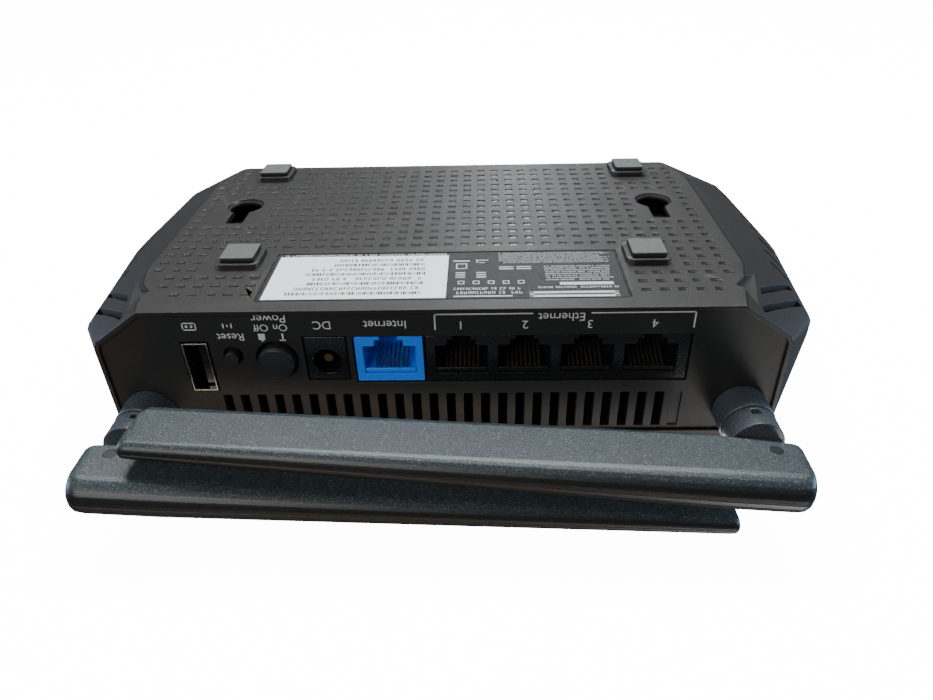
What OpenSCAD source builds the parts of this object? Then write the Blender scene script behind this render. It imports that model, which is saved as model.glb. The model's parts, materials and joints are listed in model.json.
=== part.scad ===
// Wireless router: low faceted case on four feet, port panel at the rear,
// and two blade antennas that swivel and fold on collars at the rear corners.
// The origin is the centre of the four feet, +Y is the rear and +Z is up.

/* [Case] */
// Width of the underside between the flanks
base_w = 142; // [136:0.1:171]
// How far the side flanks reach out past the underside, each side
side_flare = 23; // [14:1:28]
// Depth of the underside from the rear panel to its front edge
base_d = 90.3; // [84:0.1:110]
// How far the front flank reaches out past the underside
front_flare = 23.7; // [14:0.1:28]
// Height of the top face above the table
case_h = 39; // [38.5:0.1:47]
// Height of the underside above the table
foot_h = 2.6; // [2.2:0.1:4]
// Height of the belt, the widest line of the case
belt_z = 20.5; // [19:0.5:22]
// Thickness of the case walls
wall = 2; // [1.6:0.1:2.6]

/* [Feet] */
// Side of the square rubber pads
pad_w = 8.2; // [6:0.1:9]
// Distance from the side of the underside to the rear feet
rear_foot_side = 22.3; // [20:0.1:27]
// Distance from the side of the underside to the front feet
front_foot_side = 17.2; // [15:0.1:23]
// Distance between the front and rear feet
feet_d = 58; // [50:0.5:60]
// Distance from the rear panel to the centre of the rear feet
rear_foot_inset = 24; // [23.5:0.5:26]

/* [Wall keyholes] */
// Distance from the side of the underside to the keyholes
keyhole_side = 13.7; // [12.5:0.1:16]
// Radius of the round end that the screw head goes through
keyhole_r = 4.3; // [3.5:0.1:5]
// Width of the slot that holds the screw
keyhole_slot_w = 4.5; // [3:0.1:5]
// Distance from the rear panel to the centre of the round end
keyhole_inset = 58.5; // [56:0.5:62]
// Travel from the round end to the centre of the slot's end
keyhole_travel = 10; // [9:0.5:12]

/* [Ports] */
// Distance between neighbouring network sockets
lan_pitch = 13.97; // [13.9:0.01:15]
// Place of the first network socket across the panel
lan_x = 4.8; // [4:0.1:5]
// Height of the network sockets
jack_h = 11.7; // [11:0.1:13]
// Depth of the network sockets
jack_d = 16; // [14:0.5:17]
// Top of the main board above the table
board_z = 9.8; // [9.2:0.1:10.5]
// Thickness of the main board
board_t = 1.6; // [1:0.1:2]
// Gap around everything that passes through the rear panel
panel_gap = 0.35; // [0.3:0.05:0.6]

/* [Buttons] */
// Radius of the power button
power_r = 4; // [3:0.1:4.2]
// Travel of the power button
power_travel = 1.6; // [1:0.1:1.8]
// Radius of the reset button
reset_r = 1.5; // [1:0.1:1.6]
// Travel of the reset button
reset_travel = 0.7; // [0.4:0.1:0.8]

/* [Vents] */
// Number of open slots in the rear panel
vent_count = 26; // [10:2:28]
// Pitch of the slots in the rear panel
vent_pitch = 4; // [3.5:0.1:4]
// Width of one slot in the rear panel
vent_w = 2.1; // [1.5:0.1:2.4]
// Height of the slots in the rear panel
vent_h = 9.8; // [6:0.1:10]

/* [Antennas] */
// Distance from the side of the underside to the swivel axes
swivel_side = 2.3; // [2:0.1:3]
// Height of the swivel axes above the table
swivel_z = 29.9; // [29:0.1:30.5]
// Outer radius of the collars
collar_r = 6.15; // [5.8:0.05:6.2]
// Length of the collars behind the panel
collar_l = 7.2; // [5:0.1:8]
// Radius of the swivel shafts
shaft_r = 3.8; // [3:0.1:4]
// Running clearance of shafts and pins in their holes
running_fit = 0.06; // [0.03:0.01:0.09]
// Distance from the panel to the fold pins
pin_y = 20; // [19:0.5:23]
// Radius of the fold pins
pin_r = 1.3; // [1:0.1:1.5]
// Length of a blade from its fold pin to its tip
blade_l = 133.7; // [110:0.1:160]
// Thickness of a blade at its hinge end
blade_t = 9; // [8:0.1:9.4]
// Thickness of a blade at its tip
blade_tip_t = 4.4; // [4:0.1:6]
// Reach of a blade in front of its pin, at the hinge end
blade_front = 11.2; // [9:0.1:13]
// Reach of a blade in front of its pin, at the tip
blade_tip_front = 8.3; // [6:0.1:9]
// Reach of a blade behind its pin, at the hinge end
blade_back = 3.6; // [3.4:0.1:4.2]
// Reach of a blade behind its pin, at the tip
blade_tip_back = 6; // [3.4:0.1:6.4]
// Rise of the left blade's tip as it lies folded, in degrees
left_rise = 5.6; // [3.2:0.1:6]
// Drop of the right blade's tip as it lies folded, in degrees
right_drop = 3.9; // [3.5:0.1:5]

/* [Hidden] */
$fn = 48;
eps = 0.01;

// places along Y follow from the panel plane
panel_y = feet_d / 2 + rear_foot_inset;
rear_feet_w = base_w - 2 * rear_foot_side;
front_feet_w = base_w - 2 * front_foot_side;
keyhole_w = base_w - 2 * keyhole_side;
swivel_w = base_w - 2 * swivel_side;
panel_t = 2.2;
bezel = 0.6;
relief = 0.05;
front_y = panel_y - base_d;
rear_half = base_w / 2 - 5.9;
belt_half = base_w / 2 + side_flare;
belt_band = 3.6;
roof_half = base_w / 2 + 1;
roof = 2.6;
floor_z = foot_h + wall;
roof_z = case_h - roof;
rear_belt_half = base_w / 2 + 6;
corner_depth = 19.3;
notch_y = panel_y - 9.2;
boss_h = 1.4;
boss_w = pad_w + 2.4;

// panel features, measured from the middle of the panel and from the table
lan_count = 4;
lan_margin = 7.93;
lan_left = lan_x - lan_margin;
lan_right = lan_x + (lan_count - 1) * lan_pitch + 8.33;
wan_w = 15.2;
wan_x = lan_left - 0.6 - wan_w / 2;
dc_w = 9.2;
dc_h = 11.2;
dc_x = wan_x - wan_w / 2 - 1.9 - dc_w / 2;
dc_d = 14;
dc_hole_z = board_z + 6.5;
dc_bore_r = 3.2;
usb_w = 5.7;
usb_h = 12.9;
usb_d = 14.5;
usb_t = 0.35;
usb_x = 16.5 - base_w / 2;
usb_z = board_z + 1.1;
power_x = dc_x - dc_w / 2 - power_r - 2.5;
power_z = board_z + power_r + 1.7;
power_hole_r = power_r + 0.75;
power_face = 1.9;
power_back = -5.4;
power_stem = 11.6;
reset_x = power_x - power_r - reset_r - 4.3;
reset_z = board_z + 4.5;
reset_hole_r = reset_r + 0.65;
reset_face = 1.4;
reset_back = -4.6;
reset_stem = 6.6;
vent_z = 25.4;
face_y = panel_y - 0.2;

// main board
board_half = base_w / 2 - 9;
board_rear = panel_y - panel_t - 0.6;
board_front = panel_y - 74;
board_nose_half = 42;
board_nose_front = panel_y - 84;
board_under = board_z - board_t;
screw_well_r = 4.8;
led_count = 8;
led_pitch = 8;
led_y = panel_y - 81;
board_posts = [[board_half - 5, -45], [5 - board_half, -45], [37, -77], [-37, -77]];
soc = [0, -44];
soc_w = 14;
soc_t = 1.1;
pad_t = 0.5;
sink_w = 22;
fin_count = 7;
fin_pitch = 3.2;
radio = [26, -56];
shield_wall = 0.3;

// swivel parts, along the swivel axis from the panel
barrel_start = collar_l + 0.3;
barrel_end = pin_y - 6.6;
barrel_r = collar_r - 0.2;
neck_r = collar_r - 1.05;
neck_end = -8;
shaft_end = -10.4;
clip_start = neck_end - 0.3;
clip_t = 0.8;
clip_groove_r = shaft_r - 0.6;
cable_bore_r = 1.2;
tongue_t = 3.2;
tongue_r = 4.2;
pin_x = 0.7;
hinge_end = 6.2;
slot_gap = 0.35;
left_fold = 0.9;
right_fold = 1.2;

// coax leads, from the swivels down to the board
connector_x = board_half - 12;
connector_y = -36;
connector_h = 1.4;
coax_r = 0.7;
coax_sides = 10;
coax_x = swivel_w / 2;
coax_route = [
    [coax_x, barrel_start + 1, swivel_z], [coax_x, shaft_end - 3.6, swivel_z],
    [coax_x - 0.7, shaft_end - 6.1, swivel_z - 2], [coax_x - 3.7, -23, 20],
    [connector_x + 10, -29, 15], [connector_x + 4, -33.5, 13.4],
    [connector_x + 0.8, connector_y + 0.3, board_z + connector_h + 2.6],
    [connector_x, connector_y, board_z + connector_h + 1.4],
    [connector_x, connector_y, board_z + connector_h]
];

// ---- shared shapes ----

// outline of the case at one level, from half widths and depths
module case_level(rear, corner, side, front, nose_half, round_r, inset) {
    half = [[rear, panel_y + bezel], [corner, panel_y - corner_depth], [side, (panel_y + front) / 2],
            [corner + (side - corner) / 2, front + 0.16 * (panel_y - front)], [nose_half, front]];
    offset(r = round_r)
        offset(delta = -round_r - inset)
            polygon(concat(half, [for (i = [len(half) - 1:-1:0]) [-half[i][0], half[i][1]]]));
}

module slab(z) {
    translate([0, 0, z - eps / 2]) linear_extrude(eps) children();
}

module base_level(inset) {
    case_level(rear_half, base_w / 2, base_w / 2, front_y, base_w / 2 - 4, 2.5, inset);
}

module belt_level(inset) {
    case_level(rear_belt_half, belt_half - 4, belt_half, front_y - front_flare, belt_half - 14, 4, inset);
}

module roof_level(inset) {
    case_level(rear_half + 5.9, roof_half, roof_half, front_y - 2, roof_half - 6, 3, inset);
}

// section of the case at the panel, seen from behind
module rear_section(inset) {
    half = [[rear_half, foot_h], [rear_belt_half - 0.8, foot_h + 7.6], [rear_belt_half, foot_h + 9.4],
            [rear_belt_half, swivel_z + 2.1], [rear_half + 5.9, case_h]];
    offset(delta = -inset)
        polygon(concat(half, [for (i = [len(half) - 1:-1:0]) [-half[i][0], half[i][1]]]));
}

// opening in the shells that the rear panel fills
module rear_opening() {
    intersection() {
        rear_section(1);
        translate([-base_w, foot_h + 1]) square([2 * base_w, roof_z - foot_h - 1]);
    }
}

module behind(y0, y1) {
    translate([0, y1, 0]) rotate([90, 0, 0]) linear_extrude(y1 - y0) children();
}

module case_outside() {
    hull() {
        slab(foot_h) base_level(0.8);
        slab(foot_h + 0.8) base_level(0);
        slab(belt_z - belt_band / 2 - 6.4) belt_level(6.2);
        slab(belt_z - belt_band / 2 - 3.2) belt_level(2.5);
        slab(belt_z - belt_band / 2 - 1) belt_level(0.5);
        slab(belt_z - belt_band / 2) belt_level(0);
        slab(belt_z + belt_band / 2) belt_level(0);
        slab(belt_z + belt_band / 2 + 1.2) belt_level(0.8);
        slab(case_h - 1) roof_level(0.2);
        slab(case_h) roof_level(1.6);
        behind(panel_y, panel_y + bezel) rear_section(0);
    }
}

module case_inside() {
    hull() {
        slab(floor_z) base_level(wall);
        slab(belt_z - belt_band / 2) belt_level(wall);
        slab(belt_z + belt_band / 2) belt_level(wall);
        slab(roof_z) roof_level(wall);
        behind(panel_y - panel_t - 2 * relief, panel_y - panel_t) offset(delta = relief) rear_opening();
    }
    behind(panel_y - panel_t - relief, panel_y + 2) rear_opening();
}

module at_feet() {
    for (side = [-1, 1]) {
        translate([side * rear_feet_w / 2, feet_d / 2]) children();
        translate([side * front_feet_w / 2, -feet_d / 2]) children();
    }
}

module at_posts() {
    for (p = board_posts) translate([p[0], panel_y + p[1]]) children();
}

module rounded_square(w, r) {
    offset(r = r) square(w - 2 * r, center = true);
}

// a slot that crosses a flank on the slant, seen from above
module flank_slot(x0, y0, x1, y1, w) {
    angle = atan2(y1 - y0, x1 - x0);
    run = norm([x1 - x0, y1 - y0]);
    translate([x0, y0]) rotate(angle) translate([0, -w / 2]) square([run, w]);
}

module both_sides() {
    for (side = [0, 1]) mirror([side, 0, 0]) children();
}

// ---- case ----

module label_recess_area() {
    translate([-40.7, panel_y - 27.3]) square([82.7, 23.5]);
}

module bottom_case() {
    color("#2a2a29")
    difference() {
        union() {
            difference() {
                intersection() {
                    case_outside();
                    translate([0, 0, belt_z / 2]) cube([400, 400, belt_z], center = true);
                }
                case_inside();
            }
            intersection() {
                union() {
                    at_feet() cylinder(r = 4, h = board_under);
                    at_posts() cylinder_from(foot_h, board_under, 2.6);
                }
                translate([0, 0, foot_h + 100]) cube([300, 300, 200], center = true);
            }
            translate([0, 0, foot_h - boss_h]) linear_extrude(boss_h + eps)
                at_feet() rounded_square(boss_w, 2);
        }
        // case screws, heads sunk under the pads
        translate([0, 0, foot_h - boss_h - 1]) linear_extrude(boss_h + 1.8) at_feet() circle(r = 3.1);
        at_feet() cylinder(r = 1.65, h = 30);
        at_posts() cylinder_from(floor_z, floor_z + 10, 1);
        // shallow recess for the rating label
        translate([0, 0, foot_h - 1]) linear_extrude(1.3) label_recess_area();
        both_sides() keyhole_cut();
        both_sides() flank_vents(0, belt_z - 2.5);
        // the step where the louvred flank ends
        both_sides() translate([0, 0, foot_h - 1]) linear_extrude(3.2)
            polygon([[rear_half + 0.7, notch_y], [rear_half + 4.6, notch_y + 6], [rear_half + 12, notch_y],
                     [rear_half + 12, notch_y - 14]]);
    }
}

module keyhole_cut() {
    translate([keyhole_w / 2, panel_y - keyhole_inset, foot_h - 1]) {
        cylinder(r = keyhole_r, h = wall + 2);
        translate([-keyhole_slot_w / 2, 0, 0])
            cube([keyhole_slot_w, keyhole_travel + keyhole_slot_w / 2, wall + 2]);
        cylinder(r1 = keyhole_r + 1.8, r2 = keyhole_r, h = 1.8);
    }
}

// two open slots behind the step, and small louvres along the flank
module flank_vents(z0, z1) {
    reach = belt_half;
    translate([0, 0, z0 + foot_h + 3]) linear_extrude(z1 - z0 - foot_h - 3) {
        flank_slot(rear_half + 5, panel_y - 8.6, reach - 7, panel_y - 28, 1.5);
        flank_slot(rear_half + 5, panel_y - 2.8, reach - 7, panel_y - 21.4, 1.5);
    }
    translate([0, 0, belt_z - 9]) linear_extrude(4)
        for (i = [0:6])
            flank_slot(reach - 14, panel_y - 40 - 8 * i, reach - 4, panel_y - 33 - 8 * i, 1.3);
}

module top_case() {
    color("#262626")
    difference() {
        union() {
            difference() {
                intersection() {
                    case_outside();
                    translate([0, 0, belt_z + 50]) cube([400, 400, 100], center = true);
                }
                case_inside();
            }
            at_feet() translate([0, 0, board_under + 0.2]) cylinder(r = 3.2, h = roof_z - board_under);
        }
        at_feet() cylinder(r = 1.2, h = belt_z);
        // windows for the status lights
        for (i = [0:led_count - 1])
            translate([(i - (led_count - 1) / 2) * led_pitch, led_y, roof_z - 1])
                cylinder(r = 1.1, h = roof + 2, $fn = 24);
        // sloping vents on the upper flanks
        both_sides() translate([0, 0, belt_z + 4.5]) linear_extrude(6)
            for (i = [0:8])
                flank_slot(belt_half - 13, panel_y - 34 - 6 * i, belt_half - 2, panel_y - 28 - 6 * i, 1.4);
    }
}

module panel_openings() {
    g = panel_gap;
    translate([lan_left - g, board_z + 0.26 - g]) square([lan_right - lan_left + 2 * g, jack_h + 2 * g]);
    translate([wan_x - wan_w / 2 - g, board_z + 0.26 - g]) square([wan_w + 2 * g, jack_h + 2 * g]);
    translate([dc_x - dc_w / 2 - g, board_z - g]) square([dc_w + 2 * g, dc_h + 2 * g]);
    translate([usb_x - usb_w / 2 - g, usb_z - g]) square([usb_w + 2 * g, usb_h + 2 * g]);
    for (i = [0:vent_count - 1])
        translate([(i - (vent_count - 1) / 2) * vent_pitch - vent_w / 2, vent_z])
            square([vent_w, vent_h]);
}

module rear_panel() {
    color("#20201e")
    difference() {
        behind(panel_y - panel_t, panel_y) rear_opening();
        behind(panel_y - panel_t - 1, panel_y + 1) panel_openings();
        behind(panel_y - panel_t - 1, panel_y + 1) translate([power_x, power_z]) circle(r = power_hole_r);
        behind(panel_y - panel_t - 1, panel_y + 1) translate([reset_x, reset_z]) circle(r = reset_hole_r);
        for (side = [-1, 1]) {
            behind(panel_y - panel_t - 1, panel_y + 1)
                translate([side * swivel_w / 2, swivel_z]) circle(r = neck_r + 0.02);
            // outline of a closed slot at each end of the row
            behind(panel_y - 0.3, panel_y + 1)
                translate([side * (vent_count + 1) / 2 * vent_pitch - vent_w / 2, vent_z])
                    square([vent_w, vent_h]);
        }
    }
}

module case_screws() {
    color("#8a8d90")
    at_feet() {
        translate([0, 0, foot_h - boss_h + 0.55]) cylinder(r = 2.8, h = 1.65);
        cylinder_from(foot_h + 0.6, 17, 1.2);
    }
}

module cylinder_from(z0, z1, r) {
    translate([0, 0, z0]) cylinder(r = r, h = z1 - z0);
}

module foot(x, y) {
    color("#6e7272")
    translate([x, y, 0]) {
        linear_extrude(foot_h - boss_h) rounded_square(pad_w, 0.6);
    }
}

module rating_label() {
    color("#1c1c1c")
    translate([-40.2, panel_y - 26.9, foot_h + 0.12]) cube([81.7, 22.7, 0.18]);
}

module serial_sticker() {
    color("white")
    translate([-39.4, panel_y - 25.3, foot_h + 0.02]) cube([40.9, 20.8, 0.1]);
}

// ---- electronics ----

module board_outline() {
    difference() {
        union() {
            translate([-board_half, board_front]) square([2 * board_half, board_rear - board_front]);
            translate([-board_nose_half, board_nose_front]) square([2 * board_nose_half, 30]);
        }
        at_feet() circle(r = screw_well_r);
        at_posts() circle(r = 1.3);
    }
}

module main_board() {
    color("#1f5b36") translate([0, 0, board_under]) linear_extrude(board_t) board_outline();
}

module board_screws() {
    color("#9a9da0")
    at_posts() {
        cylinder_from(board_z, board_z + 1.4, 2.2);
        cylinder_from(floor_z + 0.5, board_z + 0.5, 1);
    }
}

// a flat chip on the board
module chip(x, y, w, d, h) {
    translate([x - w / 2, panel_y + y - d / 2, board_z]) cube([w, d, h]);
}

module soc_chip() {
    color("#202224") chip(soc[0], soc[1], soc_w, soc_w, soc_t);
}

module thermal_pad() {
    color("#9fb4c4") translate([0, 0, soc_t]) chip(soc[0], soc[1], soc_w, soc_w, pad_t);
}

module heat_sink() {
    color("#b9bcbf")
    translate([0, 0, soc_t + pad_t]) {
        chip(soc[0], soc[1], sink_w, sink_w, 2);
        translate([0, 0, 2 - eps])
            for (i = [0:fin_count - 1])
                chip(soc[0] + (i - (fin_count - 1) / 2) * fin_pitch, soc[1], 1.2, sink_w, 7);
    }
}

module ram_chip() {
    color("#202224") chip(-22, -44, 12, 8, 1);
}

module flash_chip() {
    color("#202224") chip(-22, -60, 8, 6, 1.6);
}

module radio_chip() {
    color("#202224") chip(radio[0], radio[1], 9, 9, 0.9);
}

module radio_shield() {
    color("#a9acae")
    difference() {
        chip(radio[0], radio[1], 24, 20, 3);
        translate([0, 0, -eps])
            chip(radio[0], radio[1], 24 - 2 * shield_wall, 20 - 2 * shield_wall, 3 - shield_wall);
    }
}

module lan_transformers() {
    color("#17181a") for (i = [0:2]) chip(-4 + 18 * i, -26, 14, 9, 5);
}

module power_inductor() {
    color("#3a3b3d") chip(-28, -26, 8, 8, 4.5);
}

module capacitors() {
    color("#2d3f57")
    for (i = [0:2]) translate([-42 + 9 * i, panel_y - 34, board_z]) cylinder(r = 3.2, h = 9);
}

module status_leds() {
    color("#e6e7d8")
    for (i = [0:led_count - 1]) chip((i - (led_count - 1) / 2) * led_pitch, -81, 1.8, 1.2, 0.8);
}

module light_guide() {
    color("#dfe8ea")
    for (i = [0:led_count - 1])
        translate([(i - (led_count - 1) / 2) * led_pitch, led_y, 0])
            cylinder_from(board_z + 1, case_h - 0.05, 1.05);
    color("#dfe8ea")
    translate([-(led_count * led_pitch) / 2, led_y - 1.2, roof_z - 2.4])
        cube([led_count * led_pitch, 2.4, 2.2]);
}

module antenna_connectors() {
    color("#c7a95a")
    for (side = [-1, 1])
        translate([side * connector_x, panel_y + connector_y, board_z]) cylinder(r = 1.4, h = connector_h);
}

// ---- sockets ----

// one network socket's opening, latch side down, as seen from behind
module jack_mouth() {
    translate([-5.85, 2.3]) square([11.7, 7.4]);
    translate([-3.2, 0.75]) square([6.4, 2]);
    translate([-2, -1]) square([4, 3]);
}

module jack_cavity(x) {
    translate([x, face_y + 1, board_z + 0.26]) rotate([90, 0, 0]) linear_extrude(13) jack_mouth();
}

module lan_jack_housing() {
    color("#1b1c1e")
    difference() {
        translate([lan_left, face_y - jack_d, board_z + 0.02])
            cube([lan_right - lan_left, jack_d, jack_h + 0.24]);
        for (i = [0:lan_count - 1]) jack_cavity(lan_x + i * lan_pitch);
    }
}

module wan_jack_housing() {
    color("#0b74d8")
    difference() {
        translate([wan_x - wan_w / 2, face_y - jack_d, board_z + 0.02]) cube([wan_w, jack_d, jack_h + 0.24]);
        jack_cavity(wan_x);
    }
}

// eight spring wires that slope down from the roof of a socket
module jack_contacts(x) {
    for (i = [0:7])
        translate([x - 3.57 + 1.02 * i - 0.23, face_y - 1.8, board_z + 0.26 + 9.72])
            rotate([15, 0, 0]) translate([0, -8, -0.45]) cube([0.46, 8, 0.45]);
}

module lan_jack_contacts() {
    color("#d9b45b") for (i = [0:lan_count - 1]) jack_contacts(lan_x + i * lan_pitch);
}

module wan_jack_contacts() {
    color("#d9b45b") jack_contacts(wan_x);
}

module dc_jack_housing() {
    color("#1a1b1b")
    difference() {
        translate([dc_x - dc_w / 2, face_y - dc_d, board_z]) cube([dc_w, dc_d, dc_h]);
        translate([dc_x, face_y + 1, dc_hole_z]) rotate([90, 0, 0]) cylinder(r = dc_bore_r, h = 11);
        translate([dc_x, face_y - 5, dc_hole_z]) rotate([90, 0, 0]) cylinder(r = 0.9, h = 8);
    }
}

module dc_jack_pin() {
    color("#c9c5bb")
    translate([dc_x, face_y - 1.6, dc_hole_z]) rotate([90, 0, 0]) {
        cylinder(r = 1.05, h = 8.4);
        cylinder(r = 0.9, h = 10.6);
    }
}

module usb_shell() {
    color("#b8bbbd")
    difference() {
        translate([usb_x - usb_w / 2, face_y - usb_d + 0.5, usb_z]) cube([usb_w, usb_d, usb_h]);
        translate([usb_x - usb_w / 2 + usb_t, face_y - usb_d + 1, usb_z + usb_t])
            cube([usb_w - 2 * usb_t, usb_d, usb_h - 2 * usb_t]);
    }
    color("#b8bbbd")
    for (y = [-13, -6.5])
        translate([usb_x - 0.9, face_y + y, board_z]) cube([1.8, 3, usb_z - board_z + eps]);
}

module usb_tongue() {
    color("#101112")
    translate([usb_x - usb_w / 2 + usb_t, face_y - usb_d + 1, usb_z + usb_t])
        cube([usb_w - 2 * usb_t, 2.5, usb_h - 2 * usb_t]);
    color("#101112")
    translate([usb_x + 0.1, face_y - usb_d + 2, usb_z + 0.9]) cube([1.9, 11, usb_h - 1.8]);
}

// ---- buttons ----

module power_switch() {
    color("#2b2c2e")
    difference() {
        translate([power_x - 4.2, panel_y - 17, board_z]) cube([8.4, 11.2 - power_travel - 0.4, 9.2]);
        translate([power_x, panel_y, power_z]) rotate([90, 0, 0]) cylinder(r = 1.6, h = 14);
    }
}

module power_button() {
    color("#222324")
    translate([power_x, panel_y + power_face, power_z]) rotate([90, 0, 0]) {
        cylinder(r = power_r - 0.35, h = 0.35);
        translate([0, 0, 0.35]) cylinder(r = power_r, h = power_face - power_back - 0.35);
        // rim behind the panel that keeps the button in
        translate([0, 0, power_face + panel_t + 0.35]) cylinder(r = power_r + 1.1, h = 0.8);
        cylinder(r = 1.25, h = power_face + power_stem);
    }
}

module reset_switch() {
    color("#2b2c2e")
    difference() {
        translate([reset_x - 3, panel_y - 12, board_z]) cube([6, 12 + reset_back - reset_travel - 0.4, 7.4]);
        translate([reset_x, panel_y, reset_z]) rotate([90, 0, 0]) cylinder(r = 1, h = 8);
    }
}

module reset_button() {
    color("#3c3f41")
    translate([reset_x, panel_y + reset_face, reset_z]) rotate([90, 0, 0]) {
        cylinder(r = reset_r, h = reset_face - reset_back);
        translate([0, 0, reset_face + panel_t + 0.35]) cylinder(r = reset_r + 0.9, h = 0.7);
        cylinder(r = 0.7, h = reset_face + reset_stem);
    }
}

// ---- antennas, drawn for the right side with the blade along -X ----

module on_swivel_axis(side) {
    mirror([side > 0 ? 0 : 1, 0, 0]) translate([swivel_w / 2, panel_y, swivel_z]) children();
}

module swivelled(side) {
    on_swivel_axis(side) rotate([0, side > 0 ? -right_drop : left_rise, 0]) children();
}

module folded(side) {
    swivelled(side) translate([pin_x, pin_y, 0])
        rotate([0, 0, side > 0 ? right_fold : left_fold]) children();
}

module along_axis(y0, y1, r) {
    translate([0, y0, 0]) rotate([-90, 0, 0]) cylinder(r = r, h = y1 - y0);
}

module collar(side) {
    color("#2c2d2f")
    on_swivel_axis(side) difference() {
        union() {
            along_axis(0, collar_l, collar_r);
            along_axis(neck_end, eps, neck_r);
        }
        along_axis(neck_end - 1, collar_l + 1, shaft_r + running_fit);
    }
}

module swivel(side) {
    color("#2a2b2d")
    swivelled(side) difference() {
        union() {
            along_axis(barrel_start, barrel_end, barrel_r);
            along_axis(shaft_end, barrel_start + eps, shaft_r);
            translate([pin_x - tongue_r, barrel_end - eps, -tongue_t / 2])
                cube([2 * tongue_r, pin_y - barrel_end, tongue_t]);
            translate([pin_x, pin_y, -tongue_t / 2]) cylinder(r = tongue_r, h = tongue_t);
        }
        along_axis(shaft_end - 1, barrel_start + 2, cable_bore_r);
        difference() {
            along_axis(clip_start - clip_t - 0.1, clip_start + 0.1, shaft_r + 1);
            along_axis(clip_start - clip_t - 1, clip_start + 1, clip_groove_r);
        }
        translate([pin_x, pin_y, -tongue_t]) cylinder(r = pin_r, h = 2 * tongue_t);
        // stop window in the underside of the barrel
        translate([-1.4, barrel_start + 0.9, -barrel_r - 1]) cube([2, 1.4, 2.6]);
    }
}

module swivel_clip(side) {
    color("#9da0a2")
    swivelled(side) difference() {
        along_axis(clip_start - clip_t, clip_start, shaft_r + 1.4);
        along_axis(clip_start - clip_t - 1, clip_start + 1, clip_groove_r + 0.02);
        translate([0, clip_start - clip_t / 2, -shaft_r]) cube([2.4, 2, 2 * shaft_r], center = true);
    }
}

module fold_pin(side) {
    color("#2a2b2d")
    swivelled(side) translate([pin_x, pin_y, -blade_t / 2 + 0.1]) cylinder(r = pin_r, h = blade_t - 0.2);
}

// one cross-section of a blade: a back edge eased over its width, and a front edge rounded over its nose
module blade_section(x, t, back, front, nose, ease) {
    flat = t / 2 - 1;
    round_edge = [for (a = [-90:15:90]) [front - 1 - nose * (1 - cos(a)), flat * sin(a)]];
    translate([x, 0, 0]) rotate([90, 0, 90]) linear_extrude(eps)
        offset(r = 1, $fn = 24)
            polygon(concat([[1 - back, -flat / 2], [1 - back + ease, -flat]], round_edge,
                           [[1 - back + ease, flat], [1 - back, flat / 2]]));
}

// the outside of a blade, tapering from its round hinge end to its tip
module blade_body() {
    hull() {
        blade_section(-blade_l, blade_tip_t - 1, -3, blade_tip_front - 0.5, 1, 0.2);
        blade_section(-blade_l + 0.6, blade_tip_t - 0.3, blade_tip_back - 1.6, blade_tip_front - 0.1, 1.1, 1);
        blade_section(-blade_l + 1.8, blade_tip_t, blade_tip_back, blade_tip_front, 1.2, 1.4);
        blade_section(-34, blade_t - 1, blade_back + 3.2, blade_front - 0.7, 3, 2.2);
        blade_section(-12, blade_t, blade_back + 2.9, blade_front, 3.6, 2.2);
        blade_section(hinge_end - 3.6, blade_t, blade_back, blade_front, 3.6, 0.5);
        blade_section(hinge_end - 2, blade_t, blade_back - 0.1, blade_front - 0.3, 3.5, 0.5);
        blade_section(hinge_end - 1, blade_t - 0.2, blade_back - 0.5, blade_front - 1, 3.4, 0.5);
        blade_section(hinge_end - 0.4, blade_t - 0.8, blade_back - 1.2, blade_front - 1.8, 3, 0.5);
        blade_section(hinge_end - 0.1, blade_t - 1.8, blade_back - 1.9, blade_front - 2.6, 2.4, 0.4);
        blade_section(hinge_end - eps, blade_t - 2.6, blade_back - 2.6, blade_front - 3.4, 2, 0.3);
    }
}

// one moulded half of a blade, with its cheek, its pin hole and its pocket
module blade_half(side, up) {
    color("#303336")
    folded(side) difference() {
        intersection() {
            blade_body();
            translate([-60, 0, up * 10]) cube([200, 60, 20], center = true);
        }
        cylinder(r = pin_r + running_fit, h = 40, center = true);
        // slot that the swivel tongue turns in
        translate([-tongue_r - 0.6, -20, -tongue_t / 2 - slot_gap])
            cube([40, 20 + tongue_r + 0.6, tongue_t + 2 * slot_gap]);
        // pocket for the radiator
        translate([-blade_l + 20, -1.5, -1]) cube([blade_l - 34, 7, 2]);
    }
}

module radiator(side) {
    color("#b9793a")
    folded(side) translate([-blade_l + 24, -0.9, -0.4]) cube([blade_l - 42, 5.6, 0.8]);
}

function unit(v) = v / norm(v);

// ring of points around one point of the lead, square to its direction
function coax_ring(i) =
    let (last = len(coax_route) - 1,
         ahead = coax_route[min(i + 1, last)] - coax_route[max(i - 1, 0)],
         side = unit(cross(ahead, [1, 0, 0])),
         up = unit(cross(side, ahead)))
    [for (k = [0:coax_sides - 1])
        coax_route[i] + coax_r * (cos(360 * k / coax_sides) * side + sin(360 * k / coax_sides) * up)];

// the coax lead inside the case
module coax(side) {
    rings = [for (i = [0:len(coax_route) - 1]) each coax_ring(i)];
    last = len(rings) - coax_sides;
    walls = [for (i = [0:len(coax_route) - 2], k = [0:coax_sides - 1])
        [i * coax_sides + k, i * coax_sides + (k + 1) % coax_sides,
         (i + 1) * coax_sides + (k + 1) % coax_sides, (i + 1) * coax_sides + k]];
    start = [for (k = [coax_sides - 1:-1:0]) k];
    end = [for (k = [0:coax_sides - 1]) last + k];
    color("#1d1e20")
    mirror([side > 0 ? 0 : 1, 0, 0]) translate([0, panel_y, 0])
        polyhedron(points = rings, faces = concat([start], walls, [end]));
}

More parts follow.
